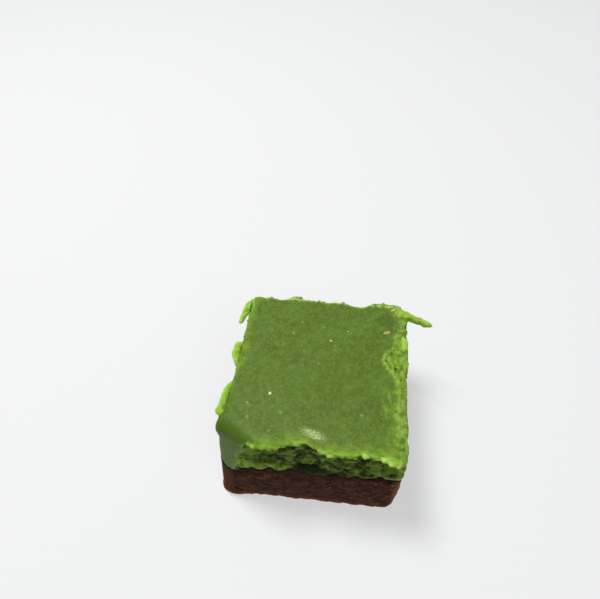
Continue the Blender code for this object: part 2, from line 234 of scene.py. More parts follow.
CHOCOLATE_SHIFTS = (
    ((-14.2, -17.6, 0.5), (3.6, 2.4, 3.4), 0.5, -BACKWARD),
    ((-15.4, -15.2, 0.2), (2.6, 2.8, 2.0), 0.8, Vector((-0.9, -0.4, 0.0))),
    ((14.6, -17.0, 0.2), (2.4, 2.6, 1.8), 0.2, Vector((0.7, -0.7, 0.0))),
)
MINT_HOLLOWS = (
    ((-0.7, -16.4, 12.9), (3.2, 3.0, 1.1), 1.0, BACKWARD),
    ((-9.3, -16.6, 16.9), (1.6, 3.0, 0.9), 0.9, INWARD),
    ((-4.0, -15.8, 17.2), (2.2, 3.0, 0.9), 0.9, INWARD),
    ((0.6, -15.8, 17.2), (2.2, 3.0, 0.9), 0.8, INWARD),
    ((4.6, -16.4, 16.9), (2.2, 3.0, 0.9), 0.7, INWARD),
    ((8.6, -16.4, 16.8), (2.2, 3.0, 0.9), 0.8, INWARD),
    ((12.4, -16.4, 16.2), (2.2, 3.0, 1.0), 0.9, INWARD),
    ((-8.6, -16.8, 18.3), (0.9, 1.4, 0.6), 0.4, INWARD),
    ((-5.4, -16.6, 18.4), (1.8, 1.6, 0.7), 0.6, INWARD),
    ((-0.5, -15.8, 18.5), (1.8, 1.6, 0.7), 0.6, INWARD),
    ((-15.75, -7.4, 19.3), (0.25, 3.0, 1.0), 0.35, DOWN),
    ((11.8, 12.8, 19.4), (2.3, 2.1, 2.0), 0.16, DOWN),
    ((-15.65, 3.0, 19.3), (0.22, 2.0, 1.0), 0.35, DOWN),
    ((-16.4, 5.4, 18.8), (0.9, 0.8, 1.4), 0.7, RIGHTWARD),
    ((-15.7, 14.2, 19.1), (0.3, 2.4, 1.2), 0.6, DOWN),
    ((12.9, 3.3, 19.0), (0.35, 0.4, 1.2), 0.5, DOWN),
    ((14.6, 1.6, 18.9), (0.4, 0.55, 1.2), 0.6, DOWN),
    ((14.6, 0.9, 18.9), (0.3, 0.4, 1.2), 0.45, DOWN),
    ((15.6, -1.0, 18.7), (0.35, 0.45, 1.2), 0.5, DOWN),
    ((15.9, -2.7, 18.6), (0.3, 0.5, 1.2), 0.45, DOWN),
)
CHOCOLATE_HOLLOWS = (
    ((14.4, -17.2, 10.4), (0.9, 2.0, 0.6), 0.8, INWARD),
    ((11.4, -17.2, 10.9), (0.8, 2.0, 0.4), 0.4, INWARD),
    ((-10.6, -17.2, 10.9), (1.2, 2.0, 0.4), 0.5, INWARD),
)

# How much further the right side reaches than the solid's, by place along it; where across it this
# sets in and ends; and how much of it the upper front corner loses
WIDER = ((-18.0, -2.0, 8.0, 14.0, 16.5), (0.45, 0.5, 0.6, 0.4, 0.0))
WIDER_IN, WIDER_OUT = (14.2, 16.2), (18.5, 17.5)
WIDER_LOSS, LOSS_FRONT, LOSS_UP = 0.65, (-14.0, -16.5), (15.0, 17.0)
# Where the right side's lumps end, by place along it, how softly, and where that stops to the back
WIDEST = ((-14.0, -1.0, 4.0), (17.0, 17.0, 17.35))
WIDEST_ROOM = 0.3
WIDEST_BACK = (13.5, 12.5)

# Relief by region, as the size of its cells, or that along each axis, and its depth, in millimetres
MINT_RELIEF = {
    "skin": ((0.9, 0.035), (3.5, 0.1)),
    "front": (((1.6, 1.4, 1.3), 0.16), ((0.6, 0.6, 0.55), 0.13)),
    "fringe": (((1.6, 1.0, 1.0), 0.12), ((0.7, 0.6, 0.5), 0.12)),
    "lip": (((1.1, 1.1, 0.8), 0.16), ((0.5, 0.5, 0.4), 0.1)),
    "band": (((0.7, 2.1, 0.7), 0.17), ((0.4, 0.7, 0.4), 0.07)),
    "side": (((1.3, 1.3, 1.1), 0.26), (0.4, 0.13)),
    "rim": (((1.0, 1.0, 0.8), 0.15), (0.4, 0.1)),
    "back rim": ((0.8, 0.14), (0.35, 0.1)),
    "right rim": (((1.4, 2.4, 1.2), 0.08), ((0.5, 0.7, 0.4), 0.05)),
    "strip": (((1.3, 1.3, 0.9), 0.22), (0.5, 0.04)),
}
CHOCOLATE_RELIEF = {"skin": ((0.9, 0.03),), "cut": ((2.2, 0.07), ((0.5, 0.5, 0.6), 0.075))}
# How many rounds of smoothing the torn surface of a region gets
SOFTENING = {"front": 3, "fringe": 2, "strip": 4, "band": 3, "right rim": 24, "cut": 5}

# Flecks on the poured top, as place and half length in millimetres
TAN_FLECKS = ((13.15, 10.1, 0.5), (12.6, 10.0, 0.45), (-12.1, -9.1, 0.26))
PALE_FLECKS = ((1.8, 6.9, 0.26), (-8.3, -6.7, 0.36), (5.0, 9.6, 0.15))
FLECK_FORM = (0.9, 0.7, 1.0)
FLECK_SINK = 0.2

# Marks for what stands out of the surface around it or lies below it: the rounds of smoothing that give
# that surface, and the heights in millimetres where the mark begins and is full
# The materials paint highlights on what is proud and shade in what is deep or in a pocket
HEIGHTS = {
    "deep": (25, -0.02, -0.22), "proud": (25, 0.04, 0.3),
    "edge": (80, 0.1, 0.45), "pocket": (110, 0.06, -0.34),
}

# Marks for the mint's material, in millimetres. A pair says where a mark begins and where it is full.
RIM_WIDTH, RIM_MORE_FRONT, RIM_MORE_LEFT = 0.8, 1.6, 1.3
RIM_FRONT, RIM_LEFT, RIM_LEFT_BACK = (-9.0, -13.0), (-12.0, -14.0), (-3.0, 1.0)
RIM_BESIDE_CORNER, CORNER_BACK = (-11.2, -9.4), -9.0
LINE_BACK, LINE_RIGHT, LINE_RIGHT_BACK = (14.5, 15.5), (9.0, 10.0), (-1.0, 1.0)
LINE_RIGHT_SHARE, LINE_FADE = 0.45, (0.35, 0.05)
LIP_LEFT, FRINGE_LEFT, SHADY_LEFT = (-11.0, -9.9), (-0.8, -3.0), (2.0, -1.0)
SHADY_DOWN, PALE_FRONT, FLAP_TIP = (0.5, 1.1), (0.5, -3.5), 0.3
# The cut corner's rolled edge gets painted shade, its face a painted sheen, and its seam a painted highlight
CORNER_FADE, CORNER_DOWN, FACET_FADE = (1.2 * CORNER_ROLL / MM, 0.1), (3.2, 1.4), (0.9, 0.2)
SEAM_FADE, SEAM_SHARE = (0.8, 0.0), 0.6
SEAM_LEFT, SEAM_DOWN, SEAM_FRONT = (-9.6, -10.4), (1.0, 2.4), (-12.0, -14.0)

# How high the painted shade under the mint's lower front edge reaches, by place along it
SHADE_TOP = ((-4.4, -2.6, 1.0, 6.0, 8.0, 9.6, 11.2, 12.8), (11.0, 13.1, 13.1, 12.4, 11.7, 12.3, 12.3, 11.0))
HEM_FADE = (0.45, -0.35)

# Oval marks, as middle and half size in millimetres and slant, and where they begin and are full in
# shares of the size: the cut front's hollow, painted dark as shade, the dent with its ring, the smear
# and the frosted patch, which is partly a painted glint
VOID = ((-0.5, 0.0, 12.6), (3.2, math.inf, 1.7))
SPOT = ((12.4, 13.3, 0.0), (2.0, 1.8, math.inf))
SMEAR = ((12.9, -6.5, 0.0), (1.4, 5.0, math.inf))
FROST = ((0.4, -14.1, 0.0), (3.3, 1.25, math.inf), 0.3)
VOID_FADE, SPOT_FADE, PATCH_FADE = (1.0, 0.3), (1.1, 0.5), (1.0, 0.2)
RING, RING_FADE = 1.2, (0.16, 0.0)

# The same for the chocolate's. The shade under the mint is painted, and its smooth side has a part only of
# it.
EAVE_FADE, EAVE_SMOOTH = (2.3, 0.5), 0.35
# The base is painted lighter, partly as light bounced from the floor and partly as ochre specks
FOOT_FADE = (2.3, 0.5)
FLANK_RIGHT, FLANK_FRONT = (15.1, 16.0), (-12.0, -16.0)

# The solids' triangles are cut down to this side; then the skin's voxels, and its most triangles
FACE_SIDE = 0.6 * MM
MINT_VOXEL = 0.187 * MM
CHOCOLATE_VOXEL = 0.19 * MM
MOST_TRIANGLES = 190000

# A vertex belongs to the poured or moulded skin within this reach of it, where it faces the same way
SKIN_REACH = 0.1 * MM
SKIN_LOST = 2.2 * SKIN_REACH
SKIN_FACING = (0.5, 0.8)
SKIN_WHOLE = 0.9

# A round of smoothing draws a vertex this far to its neighbours' mean. The poured skin gets several,
# and then all of the surface one weaker round.
PULL = 0.5
SKIN_ROUNDS = 8
WEAK_PULL = 0.3

# Regions that nothing sees, and how far from the middle they are thinned out to
HIDDEN = ("under", "base", "top")
HIDDEN_HALF = (14.0 * MM, 14.5 * MM)

# A crumb's lumps, as how close they lie and how high, and how far it is turned at random in radians
CRUMB_LUMPS = ((1.1, 0.5), (2.4, 0.3))
CRUMB_TURN, LAID_TURN = 0.45, 0.3


def linear(code):
    """A linear colour from an sRGB hex code."""
    parts = [int(code[i:i + 2], 16) / 255 for i in (1, 3, 5)]
    return (*(p / 12.92 if p <= 0.04045 else ((p + 0.055) / 1.055) ** 2.4 for p in parts), 1.0)


def ease(low, high, values):
    """0 at low, 1 at high, and a smooth step between them, for numbers or arrays."""
    share = np.clip((values - low) / (high - low), 0.0, 1.0)
    return share * share * (3.0 - 2.0 * share)


# Meshes as arrays


class Faces(NamedTuple):
    """A mesh's points, its triangles, and each triangle's middle, normal and area."""
    points: np.ndarray
    corners: np.ndarray
    middles: np.ndarray
    normals: np.ndarray
    areas: np.ndarray

    def only(self, keep):
        """Some of the triangles."""
        return Faces(self.points, *(rows[keep] for rows in self[1:]))

    def tree(self):
        """The triangles, ready to be searched."""
        return BVHTree.FromPolygons(self.points.tolist(), self.corners.tolist())


def read(values, name, width, kind=float):
    """One property of all of a mesh's parts, as an array with a row for each."""
    rows = np.empty(len(values) * width, dtype=kind)
    values.foreach_get(name, rows)
    return rows.reshape(-1, width)


def measured(points, corners):
    """Triangles with their middles, normals and areas."""
    ends = points[corners]
    cross = np.cross(ends[:, 1] - ends[:, 0], ends[:, 2] - ends[:, 0])
    length = np.linalg.norm(cross, axis=1)
    return Faces(points, corners, ends.mean(axis=1), cross / np.maximum(length, 1e-20)[:, None], length / 2)


def faces_of(mesh):
    """A mesh's triangles."""
    mesh.calc_loop_triangles()
    return measured(read(mesh.vertices, "co", 3), read(mesh.loop_triangles, "vertices", 3, np.int64))


def cut_finely(faces):
    """The same surface in small triangles, so that its regions can end anywhere."""
    left, done = faces.points[faces.corners], []
    while len(left):
        sides = np.linalg.norm(np.roll(left, -1, axis=1) - left, axis=2)
        turned = (sides.argmax(axis=1)[:, None] + np.arange(3)) % 3
        left = np.take_along_axis(left, turned[:, :, None], axis=1)
        large = sides.max(axis=1) > FACE_SIDE
        done.append(left[~large])
        first, second, third = left[large].transpose(1, 0, 2)
        half = (first + second) / 2
        halves = ((first, half, third), (half, second, third))
        left = np.concatenate([np.stack(ends, axis=1) for ends in halves])
    points = np.concatenate(done).reshape(-1, 3)
    return measured(points, np.arange(len(points)).reshape(-1, 3))


def wobble(places, cell):
    """Soft noise at each place, between about -0.5 and 0.5, in cells of that size in millimetres."""
    return np.array([noise.noise(Vector(place)) for place in places / MM / cell])


def joined(parts):
    """Points and faces of many shapes as one."""
    points, faces = zip(*parts)
    starts = np.cumsum([0] + [len(rows) for rows in points])
    return np.concatenate(points), np.concatenate([rows + start for rows, start in zip(faces, starts)])


def new_object(name, data):
    """A new object in the scene."""
    made = bpy.data.objects.new(name, data)
    bpy.context.scene.collection.objects.link(made)
    return made


def new_piece(name, points, faces):
    """A new object from arrays of points and faces."""
    mesh = bpy.data.meshes.new(name)
    mesh.from_pydata(points.tolist(), [], faces.tolist())
    return new_object(name, mesh)


def apply_modifiers(piece):
    """Makes the piece's mesh what its modifiers show."""
    bpy.context.view_layer.update()
    mesh = bpy.data.meshes.new_from_object(piece.evaluated_get(bpy.context.evaluated_depsgraph_get()))
    mesh.name = piece.name
    piece.modifiers.clear()
    piece.data = mesh


class Skin:
    """The vertices of a piece's mesh as arrays, to be moved and written back."""

    def __init__(self, mesh):
        self.mesh = mesh
        self.points = read(mesh.vertices, "co", 3)
        self.normals = read(mesh.vertices, "normal", 3)
        self.ends = read(mesh.edges, "vertices", 2, np.int64)
        self.links = np.maximum(np.bincount(self.ends.ravel(), minlength=len(self.points)), 1)

    def smoothed(self, values, rounds, share=PULL):
        """Values drawn towards their neighbours' mean by that share, round after round."""
        values = values.reshape(len(self.points), -1).copy()
        first, second = self.ends.T
        for _ in range(rounds):
            for line in values.T:
                total = np.bincount(first, line[second], len(line))
                total += np.bincount(second, line[first], len(line))
                line += share * (total / self.links - line)
        return values

    def write(self):
        """Puts the points back into the mesh."""
        self.mesh.vertices.foreach_set("co", self.points.ravel())
        self.mesh.update()
        self.normals = read(self.mesh.vertices, "normal", 3)

    def nearest(self, faces):
        """Each point's distance to the nearest face, with that face's normal and number."""
        tree = faces.tree()
        found = [tree.find_nearest(point) for point in self.points]
        return [np.array(column) for column in zip(*((hit[3], hit[1][:], hit[2]) for hit in found))]

    def height(self, rounds):
        """How far each point stands out of the surface around it; more rounds take in a wider circle."""
        away = self.points - self.smoothed(self.points, rounds)
        return np.einsum("ij,ij->i", away, self.normals)

    def spread(self, chosen, rounds=3):
        """1 where chosen and 0 elsewhere, with a soft edge."""
        return self.smoothed(chosen.astype(float), rounds)[:, 0]

    def store(self, marks):
        """Keeps numbers for each vertex by name, for the material to read."""
        for name, values in marks.items():
            layer = self.mesh.attributes.new(name, "FLOAT", "POINT")
            layer.data.foreach_set("value", np.asarray(values, dtype=np.float32).ravel())


# Crumbs


def crumb_shapes(chance, count=16, apart=50.0):
    """Rough little lumps about 1 in radius, each another, for the crumbs to be copied from."""
    shapes = []
    for _ in range(count):
        bm = bmesh.new()
        bmesh.ops.create_icosphere(bm, subdivisions=2, radius=1.0)
        shift = Vector([chance.uniform(-apart, apart) for _ in range(3)])
        for vertex in bm.verts:
            lumps = (noise.noise(vertex.co * rate + shift) * high for rate, high in CRUMB_LUMPS)
            vertex.co *= 1.0 + sum(lumps)
        points = np.array([vertex.co[:] for vertex in bm.verts])
        shapes.append((points, np.array([[vertex.index for vertex in face.verts] for face in bm.faces])))
        bm.free()
    return shapes


def placed(shape, place, outward, size, form, chance, turn, upright=0.3):
    """A crumb's shape at its place: its length lies level along the face, its last axis upright."""
    points, faces = shape
    out = Vector(outward).normalized()
    level = Vector((-out.y, out.x, 0.0))
    if level.length < upright:
        level = Vector((0.0, 1.0, 0.0))
    level = (level - out * level.dot(out)).normalized()
    axes = Matrix((level, out, level.cross(out))).transposed()
    axes = axes @ Euler([chance.uniform(-turn, turn) for _ in range(3)]).to_matrix()
    return (points * np.array(form) * size) @ np.array(axes).T + np.array(place), faces


def strewn(faces, crumbs, chance, shapes):
    """Crumbs strewn over the given triangles, more small ones than large."""
    small, large = crumbs.small * MM, crumbs.large * MM
    found = []
    for corners, normal, area in zip(faces.points[faces.corners], faces.normals, faces.areas):
        wanted = area / MM**2 * crumbs.density
        for _ in range(int(wanted) + (chance.random() < wanted % 1)):
            near, far = sorted((chance.random(), chance.random()))
            place = corners[0] * near + corners[1] * (far - near) + corners[2] * (1 - far)
            size = small + (large - small) * chance.random() ** 2
            place = place + normal * size * chance.uniform(*crumbs.sink)
            shape = chance.choice(shapes)
            found.append(placed(shape, place, normal, size, crumbs.form, chance, CRUMB_TURN))
    return found


def along(route):
    """Places and radii close together along a strip's route."""
    for (start, first), (end, last) in zip(route, route[1:]):
        start, end = Vector(start) * MM, Vector(end) * MM
        steps = max(int((end - start).length / STRIP_STEP), 1)
        for step in range(steps + 1):
            share = step / steps
            yield start.lerp(end, share), (first + (last - first) * share) * MM


def strip(route, chance, shapes):
    """A torn strip: lumps that run into each other along a route."""
    points, faces = shapes[0]
    ball = points / np.linalg.norm(points, axis=1)[:, None]
    for place, radius in along(route):
        yield ball * np.array(STRIP_FORM) * radius * chance.uniform(*STRIP_VARY) + np.array(place), faces


def lip_lobes(faces, chance, shapes):
    """Small lobes along the lip over the cut front."""
    tree = faces.tree()
    for middle, size in LIP_LOBES:
        edge = tree.ray_cast(Vector((middle * MM, 2 * FRONT, TOP - LOBE_DROP)), BACKWARD)[0]
        yield placed(chance.choice(shapes), edge, LOBE_AIM, size * MM, LOBE_FORM, chance, LAID_TURN)


def on_tips(places):
    """How near places are to the tip of one of the lip's teeth, from 0 to 1."""
    share = np.zeros(len(places))
    for root, tip, radius in TEETH:
        for back in TIP_BACK:
            away = np.linalg.norm(places / MM - np.array(Vector(tip).lerp(Vector(root), back)), axis=1)
            share = np.maximum(share, 1.0 - ease(*TIP_EDGE, away / radius + TIP_TAPER * back))
    return share


# Layers


def oval(places, middle, half, slant=0.0):
    """How far places lie from the middle of an oval, in shares of its half size."""
    away = places / MM - middle
    away[:, 1] += slant * away[:, 0]
    return np.linalg.norm(away / half, axis=1)


def nudge(points, shifts):
    """Moves the surface at some places, less and less towards the edge of each."""
    for place, half, far, direction in shifts:
        points += np.outer(far * MM * (1.0 - ease(*MOVE_EDGE, oval(points, place, half))), direction)


def widen(points):
    """Moves the right side out."""
    x, y, z = points.T / MM
    share = ease(*WIDER_IN, x) * ease(*WIDER_OUT, x)
    share *= 1.0 - WIDER_LOSS * ease(*LOSS_FRONT, y) * ease(*LOSS_UP, z)
    points[:, 0] += share * np.interp(y, *WIDER) * MM


def hold_in(points):
    """Evens out what stands far out of the right side."""
    x, y, _ = points.T / MM
    over = np.maximum(x - np.interp(y, *WIDEST) + WIDEST_ROOM, 0.0) * ease(*WIDEST_BACK, y)
    points[:, 0] = (x - over + WIDEST_ROOM * np.tanh(over / WIDEST_ROOM)) * MM


def reshaped(mesh, shifts):
    """The mesh in small triangles, with its surface moved at some places."""
    solid = cut_finely(faces_of(mesh))
    nudge(solid.points, shifts)
    widen(solid.points)
    hold_in(solid.points)
    return measured(solid.points, solid.corners)


def corner_end(z):
    """Where the cut corner ends to the right, at a height."""
    return CORNER_RIGHT - CORNER_LEAN * (TOP - z)


def set_back(points, solid):
    """Sets the left end of the torn front back, level with the front beside it."""
    tree = solid.tree()
    starts = [Vector((FRONT_LEFT + FACE_BESIDE, 2 * FRONT, height)) for height in FACE_HEIGHTS]
    beside = [tree.ray_cast(start, BACKWARD)[0].y for start in starts]
    x, y, z = points.T
    share = ease(*SET_BACK_AFTER, x - corner_end(z) - RAGGED * wobble(points, CORNER_WAVE))
    share *= ease(*SET_BACK_ALONG, x - FRONT_LEFT)
    share *= ease(*SET_BACK_BELOW, TOP - z)
    y += share * np.maximum(np.interp(z, FACE_HEIGHTS, beside) - y, 0.0)


def roughen(skin, reliefs, regions, whole, least=0.01):
    """Pushes the surface in and out along its normals by soft noise, each region in its own way."""
    push = np.zeros(len(skin.points))
    for region, layers in reliefs.items():
        share = whole if region == "skin" else skin.spread(regions == region) * (1.0 - whole)
        for i in np.flatnonzero(share > least):
            for cells, depth in layers:
                push[i] += share[i] * depth * noise.noise(Vector(skin.points[i] / MM / cells))
    skin.points += skin.normals * push[:, None] * MM


def wholeness(skin, solid, regions):
    """How much each vertex belongs to the poured or moulded skin, and the region of each."""
    away, facing, index = skin.nearest(solid)
    here = regions[index]
    whole = np.where(here == "skin", 1.0 - ease(SKIN_REACH, SKIN_LOST, away), 0.0)
    whole *= ease(*SKIN_FACING, np.einsum("ij,ij->i", skin.normals, facing))
    return skin.smoothed(whole, 2)[:, 0], here


def thin_out(piece, hidden):
    """Thins out the faces that nothing sees, until the piece has few enough triangles."""
    triangles = sum(len(face.vertices) - 2 for face in piece.data.polygons)
    group = piece.vertex_groups.new(name="hidden")
    group.add(np.flatnonzero(hidden).tolist(), 1.0, "REPLACE")
    decimate = piece.modifiers.new("thin out", "DECIMATE")
    decimate.ratio = min(MOST_TRIANGLES / triangles, 1.0)
    decimate.vertex_group = group.name
    decimate.use_collapse_triangulate = True
    apply_modifiers(piece)
    piece.vertex_groups.clear()


def drop_strays(piece):
    """Deletes the small bodies that float beside the piece's largest or lie closed up inside it."""
    bm = bmesh.new()
    bm.from_mesh(piece.data)
    left, bodies = set(bm.verts), []
    while left:
        body, waiting = [], [left.pop()]
        while waiting:
            body.append(waiting.pop())
            near = {vertex for edge in body[-1].link_edges for vertex in edge.verts} & left
            left -= near
            waiting += near
        bodies.append(body)
    bodies.sort(key=len)
    bmesh.ops.delete(bm, geom=[vertex for body in bodies[:-1] for vertex in body], context="VERTS")
    bm.to_mesh(piece.data)
    bm.free()


def grow(name, solid, regions, crumbs, hollows, reliefs, voxel):
    """A layer's visible skin: solid and crumbs under one surface, smoothed, pressed and roughened."""
    piece = new_piece(name, *joined([(solid.points, solid.corners)] + crumbs))
    remesh = piece.modifiers.new("skin", "REMESH")
    remesh.mode = "VOXEL"
    remesh.voxel_size = voxel
    apply_modifiers(piece)
    drop_strays(piece)
    skin = Skin(piece.data)
    whole, here = wholeness(skin, solid, regions)
    skin.points = skin.smoothed(skin.points, SKIN_ROUNDS, np.where(whole > SKIN_WHOLE, PULL, 0.0))
    skin.points = skin.smoothed(skin.points, 1, WEAK_PULL)
    for region, rounds in SOFTENING.items():
        skin.points = skin.smoothed(skin.points, rounds, np.where(here == region, PULL, 0.0))
    if name == "mint":
        set_back(skin.points, solid)
    hold_in(skin.points)
    nudge(skin.points, hollows)
    skin.write()
    roughen(skin, reliefs, here, whole)
    skin.write()
    inside = (np.abs(skin.points[:, :2]) < HIDDEN_HALF).all(axis=1)
    thin_out(piece, np.isin(here, HIDDEN) & inside)
    return piece


def looks(skin, solid, regions):
    """What both materials need to know at each vertex, its region, and how far away in millimetres the
    poured skin and the torn surface are."""
    whole, here = wholeness(skin, solid, regions)
    to_skin = skin.nearest(solid.only(regions == "skin"))[0] / MM
    to_torn = skin.nearest(solid.only(~np.isin(regions, ("skin", *HIDDEN))))[0] / MM
    found = {"torn": 1.0 - whole}
    for name, (rounds, low, high) in HEIGHTS.items():
        found[name] = ease(low, high, skin.height(rounds) / MM)
    return found, here, to_skin, to_torn


def corner_depth(places):
    """How far places lie behind the plane of the cut corner."""
    low, high = CORNER_REACH
    return low + (high - low) * places[:, 2] / TOP - places @ np.array(CORNER_FACING)


def band_edge(y):
    """Where the poured top ends to the right, at a place along it."""
    middle, half, bite = BAND_BITE
    bitten = BAND_INNER - bite * (1.0 - ease(0.0, 2.0 * half, np.abs(y - middle)))
    return bitten + (BAND_BACK_INNER - BAND_INNER) * ease(*BAND_BACK, y)


def on_strips(places, routes=STRIPS):
    """How much places belong to a torn strip, from 0 to 1."""
    share = np.zeros(len(places))
    for route in routes:
        for place, radius in along(route):
            away = np.linalg.norm(places - np.array(place), axis=1)
            share = np.maximum(share, 1.0 - ease(*(edge * radius for edge in STRIP_EDGE), away))
    return share


def first_kind(kinds, rest):
    """The name of the first kind that each triangle is of, or the rest's name."""
    return np.select([fits for fits, _ in kinds], [name for _, name in kinds], rest)


def mint_regions(solid):
    """Which part of the mint's surface each triangle belongs to."""
    middles = solid.middles
    x, y, z = middles.T
    up = solid.normals[:, 2]
    ragged = RAGGED * sum(share * wobble(middles, cell) for cell, share in RAGGED_WAVES)
    on_corner = corner_depth(middles) < CORNER_ROLL
    corner = on_corner & (x < corner_end(z) + CORNER_WANDER * ragged)
    roll = on_corner & (x < ROLL_RIGHT) & (up > ROLL_UP) & (y > ROLL_FRONT)
    top = (up > TOP_UP) & (z > TOP - TOP_DEPTH) & (x + BAND_WANDER * ragged < band_edge(y)) & (y > TOP_FRONT)
    front = (y < FRONT_BACK) & (x < FRONT_RIGHT)
    tin = (x < TIN_SIDE) & ~front & (solid.normals[:, 1] < TORN_BACK)
    left_rim = (x < LEFT_RIM_RIGHT) & (y > LEFT_RIM_FRONT) & (z > TOP - LEFT_RIM_DEPTH)
    right_rim = (x > SIDE_LEFT) & (y < BACK_FRONT) & ((z > TOP - RIGHT_RIM_DEPTH) | (y < FRONT_BACK))
    return first_kind((
        (on_strips(middles) > STRIP_SHARE, "strip"),
        (up < UNDER_UP, "under"),
        (left_rim & (up < RIM_UP + ragged / MM), "rim"),
        ((corner | top | tin | roll) & (y + BACK_WANDER * ragged < TOP_BACK), "skin"),
        ((up > BAND_UP) & (x > BAND_LEFT) & (y > TOP_FRONT), "band"),
        (front & (z > TOP - LIP_DEPTH), "lip"),
        (front & (z > FRINGE_TOP), "front"),
        (front, "fringe"),
        (right_rim, "right rim"),
        ((z > TOP - RIM_DEPTH) & (y > BACK_FRONT), "back rim"),
        (z > TOP - RIM_DEPTH, "rim"),
    ), "side")


def mint_marks(skin, solid, regions):
    """What the mint's material needs to know at each vertex."""
    found, here, to_skin, to_torn = looks(skin, solid, regions)
    points = skin.points
    x, y, z = points.T / MM
    below = TOP / MM - z
    behind = corner_depth(points) / MM
    # The top's bright rim, and the pale line where it ends
    wide = RIM_WIDTH + RIM_MORE_FRONT * ease(*RIM_FRONT, y)
    wide += RIM_MORE_LEFT * ease(*RIM_LEFT, x) * ease(*RIM_LEFT_BACK, y)
    found["rim"] = ease(wide, 0.0, to_torn) * np.where(y > CORNER_BACK, 1.0, ease(*RIM_BESIDE_CORNER, x))
    drawn = ease(*LINE_BACK, y)
    drawn += LINE_RIGHT_SHARE * ease(*LINE_RIGHT, x) * ease(*LINE_RIGHT_BACK, y) * (drawn < 0.5)
    found["line"] = np.minimum(drawn, 1.0) * ease(*LINE_FADE, np.maximum(to_skin, to_torn))
    # The torn front, band and strips. The front is painted darker than the other torn sides, as shade.
    found["strip"] = on_strips(points)
    found["lip"] = skin.spread(here == "lip") * ease(*LIP_LEFT, x)
    found["shady"] = found["lip"] * ease(*SHADY_LEFT, x) * ease(*SHADY_DOWN, below)
    found["front"] = skin.spread(np.isin(here, ("front", "fringe", "under"))) * (1.0 - found["strip"])
    # Painted shade in the cut front's hollow
    found["void"] = ease(*VOID_FADE, oval(points, *VOID))
    found["fringe"] = skin.spread(here == "fringe") * ease(*FRINGE_LEFT, x)
    # Painted shade under the mint's lower front edge
    found["hem"] = ease(*HEM_FADE, z - np.interp(x, *SHADE_TOP))
    found["band"] = skin.spread(np.isin(here, ("band", "right rim")))
    found["pale"] = found["band"] * ease(*PALE_FRONT, y)
    flap = on_strips(points, (FLAP,))
    # Painted highlight on the teeth's tips and on part of the flap
    found["tip"] = np.maximum(on_tips(points) * found["lip"], FLAP_TIP * flap)
    # The cut corner, with painted shade on its rolled edge, a painted sheen on its face, and a painted
    # highlight on its seam with the torn front
    found["corner"] = ease(*CORNER_FADE, behind) * ease(*CORNER_DOWN, below)
    found["facet"] = ease(*FACET_FADE, behind)
    to_seam = np.where(to_skin < to_torn, to_torn, SEAM_SHARE * to_skin)
    found["seam"] = ease(*SEAM_FADE, to_seam) * ease(*SEAM_LEFT, x)
    found["seam"] *= ease(*SEAM_DOWN, below) * ease(*SEAM_FRONT, y)
    # The dent, its ring, the smear and the frosted patch, which is partly a painted glint
    away = oval(points, *SPOT)
    found["spot"] = ease(*SPOT_FADE, away)
    found["ring"] = ease(*RING_FADE, np.abs(away - RING))
    found["smear"] = ease(*PATCH_FADE, oval(points, *SMEAR))
    found["frost"] = ease(*PATCH_FADE, oval(points, *FROST))
    return found


def grown_mint(chance, shapes):
    """The mint layer."""
    solid = reshaped(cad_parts["mint_layer"].data, MINT_SHIFTS)
    regions = mint_regions(solid)
    crumbs = list(lip_lobes(solid, chance, shapes))
    for region, *kind in MINT_CRUMBS:
        crumbs += strewn(solid.only(regions == region), Crumbs(*kind), chance, shapes)
    for route in STRIPS:
        crumbs += strip(route, chance, shapes)
    for root, tip, radius in TEETH:
        crumbs += strip(((root, radius * TOOTH_ROOT), (tip, radius)), chance, shapes)
    piece = grow("mint", solid, regions, crumbs, MINT_HOLLOWS, MINT_RELIEF, MINT_VOXEL)
    skin = Skin(piece.data)
    skin.store(mint_marks(skin, solid, regions))
    return piece


def chocolate_regions(solid):
    """Which part of the chocolate's surface each triangle belongs to."""
    x, y, z = solid.middles.T
    up = solid.normals[:, 2]
    corner = (x < corner_end(z)) & (corner_depth(solid.middles) < CORNER_ROLL)
    tin = (x < CHOCOLATE_TIN_SIDE) & (solid.normals[:, 1] < TORN_BACK)
    return first_kind((
        (up < BASE_UP, "base"),
        ((up > CHOCOLATE_UP) & (z > HALF_WAY), "top"),
        ((corner | tin) & (y < TOP_BACK), "skin"),
    ), "cut")


def chocolate_marks(skin, solid, regions):
    """What the chocolate's material needs to know at each vertex."""
    found = looks(skin, solid, regions)[0]
    x, y, z = skin.points.T / MM
    to_top = skin.nearest(solid.only(regions == "top"))[0] / MM
    # Painted shade under the mint, only a part of it on the smooth side
    found["eave"] = ease(*EAVE_FADE, to_top) * (EAVE_SMOOTH + (1.0 - EAVE_SMOOTH) * found["torn"])
    # Lighter at the base: partly painted light bounced from the floor, partly ochre specks
    found["foot"] = ease(*FOOT_FADE, z)
    found["flank"] = ease(*FLANK_RIGHT, x) * ease(*FLANK_FRONT, y)
    return found


def grown_chocolate(chance, shapes):
    """The chocolate layer, raised to close the gap that the solids keep between the layers."""
    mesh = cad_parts["chocolate_layer"].data.copy()
    points = read(mesh.vertices, "co", 3)
    normals = read(mesh.vertices, "normal", 3)
    points[(normals[:, 2] > RAISED_UP) & (points[:, 2] > HALF_WAY), 2] += CLOSED_SHARE * LAYER_GAP
    mesh.vertices.foreach_set("co", points.ravel())
    solid = reshaped(mesh, CHOCOLATE_SHIFTS)
    regions = chocolate_regions(solid)
    grained = (regions == "cut") & (solid.middles[:, 2] > GRAINS_FROM)
    crumbs = strewn(solid.only(grained), CHOCOLATE_GRAINS, chance, shapes)
    piece = grow("chocolate", solid, regions, crumbs, CHOCOLATE_HOLLOWS, CHOCOLATE_RELIEF, CHOCOLATE_VOXEL)
    skin = Skin(piece.data)
    skin.points[:, 2] = np.maximum(skin.points[:, 2], 0.0)
    skin.write()
    skin.store(chocolate_marks(skin, solid, regions))
    return piece


